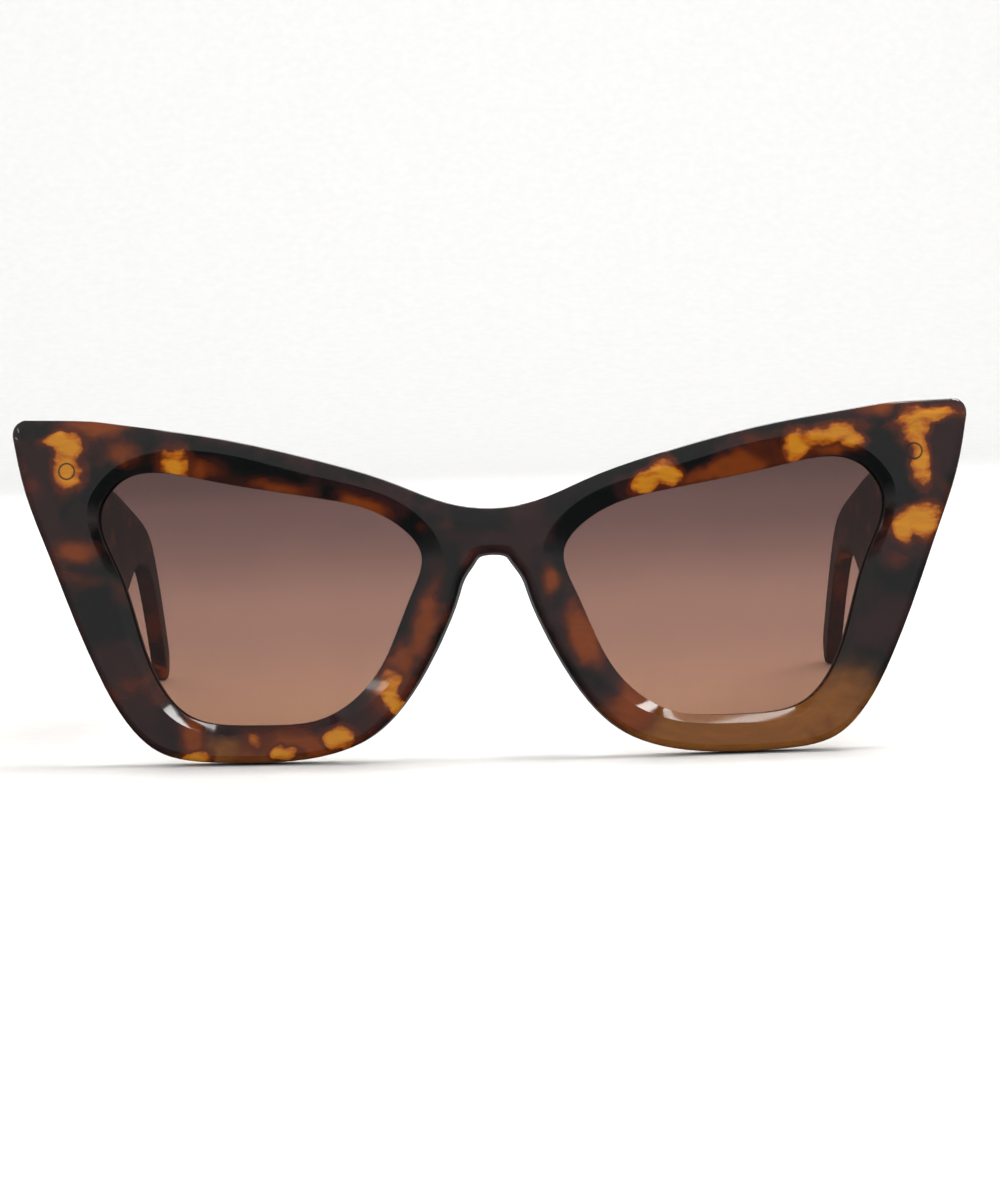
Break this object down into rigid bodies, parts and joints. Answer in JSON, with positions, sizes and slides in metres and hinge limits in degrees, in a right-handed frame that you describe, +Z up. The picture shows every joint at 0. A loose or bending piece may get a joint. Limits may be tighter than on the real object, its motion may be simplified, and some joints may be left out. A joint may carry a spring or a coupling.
{
  "type": "cat eye sunglasses",
  "caption": "Cat eye sunglasses with a moulded tortoiseshell front, gradient tinted lenses and wide temples that fold on small screw hinges.",
  "frame": {"origin": "centre of the base of the open sunglasses, on the table they stand on", "axes": "+X towards the wearer's left, +Y back along the temples, +Z up; the front faces -Y and leans back a little"},
  "size_m": [0.1474, 0.1402, 0.0535],
  "materials": {
    "tortoiseshell": "polished, black and brown with amber patches",
    "lens_tint": "clear gradient tint, dark brown at the top to light tan at the bottom",
    "hinge_metal": "satin",
    "screw_metal": "polished"
  },
  "bodies": {
    "front": {"front_frame": "tortoiseshell", "lens_left": "lens_tint", "lens_right": "lens_tint", "front_hinge_leaf_left": "hinge_metal", "front_hinge_leaf_right": "hinge_metal", "hinge_screw_left": "screw_metal", "hinge_screw_right": "screw_metal", "hinge_peg_left": "tortoiseshell", "hinge_peg_right": "tortoiseshell"},
    "left_arm": {"temple_left": "tortoiseshell", "temple_hinge_leaf_left": "hinge_metal"},
    "right_arm": {"temple_right": "tortoiseshell", "temple_hinge_leaf_right": "hinge_metal"}
  },
  "joints": [
    {"name": "left_hinge", "type": "hinge", "parent": "front", "child": "left_arm", "pos_m": [-0.06215, -0.05357, 0.0392], "axis": [0, -0.0906, -0.9959], "range_deg": [0, 92]},
    {"name": "right_hinge", "type": "hinge", "parent": "front", "child": "right_arm", "pos_m": [0.06215, -0.05357, 0.0392], "axis": [0, 0.0906, 0.9959], "range_deg": [0, 88.3]}
  ]
}
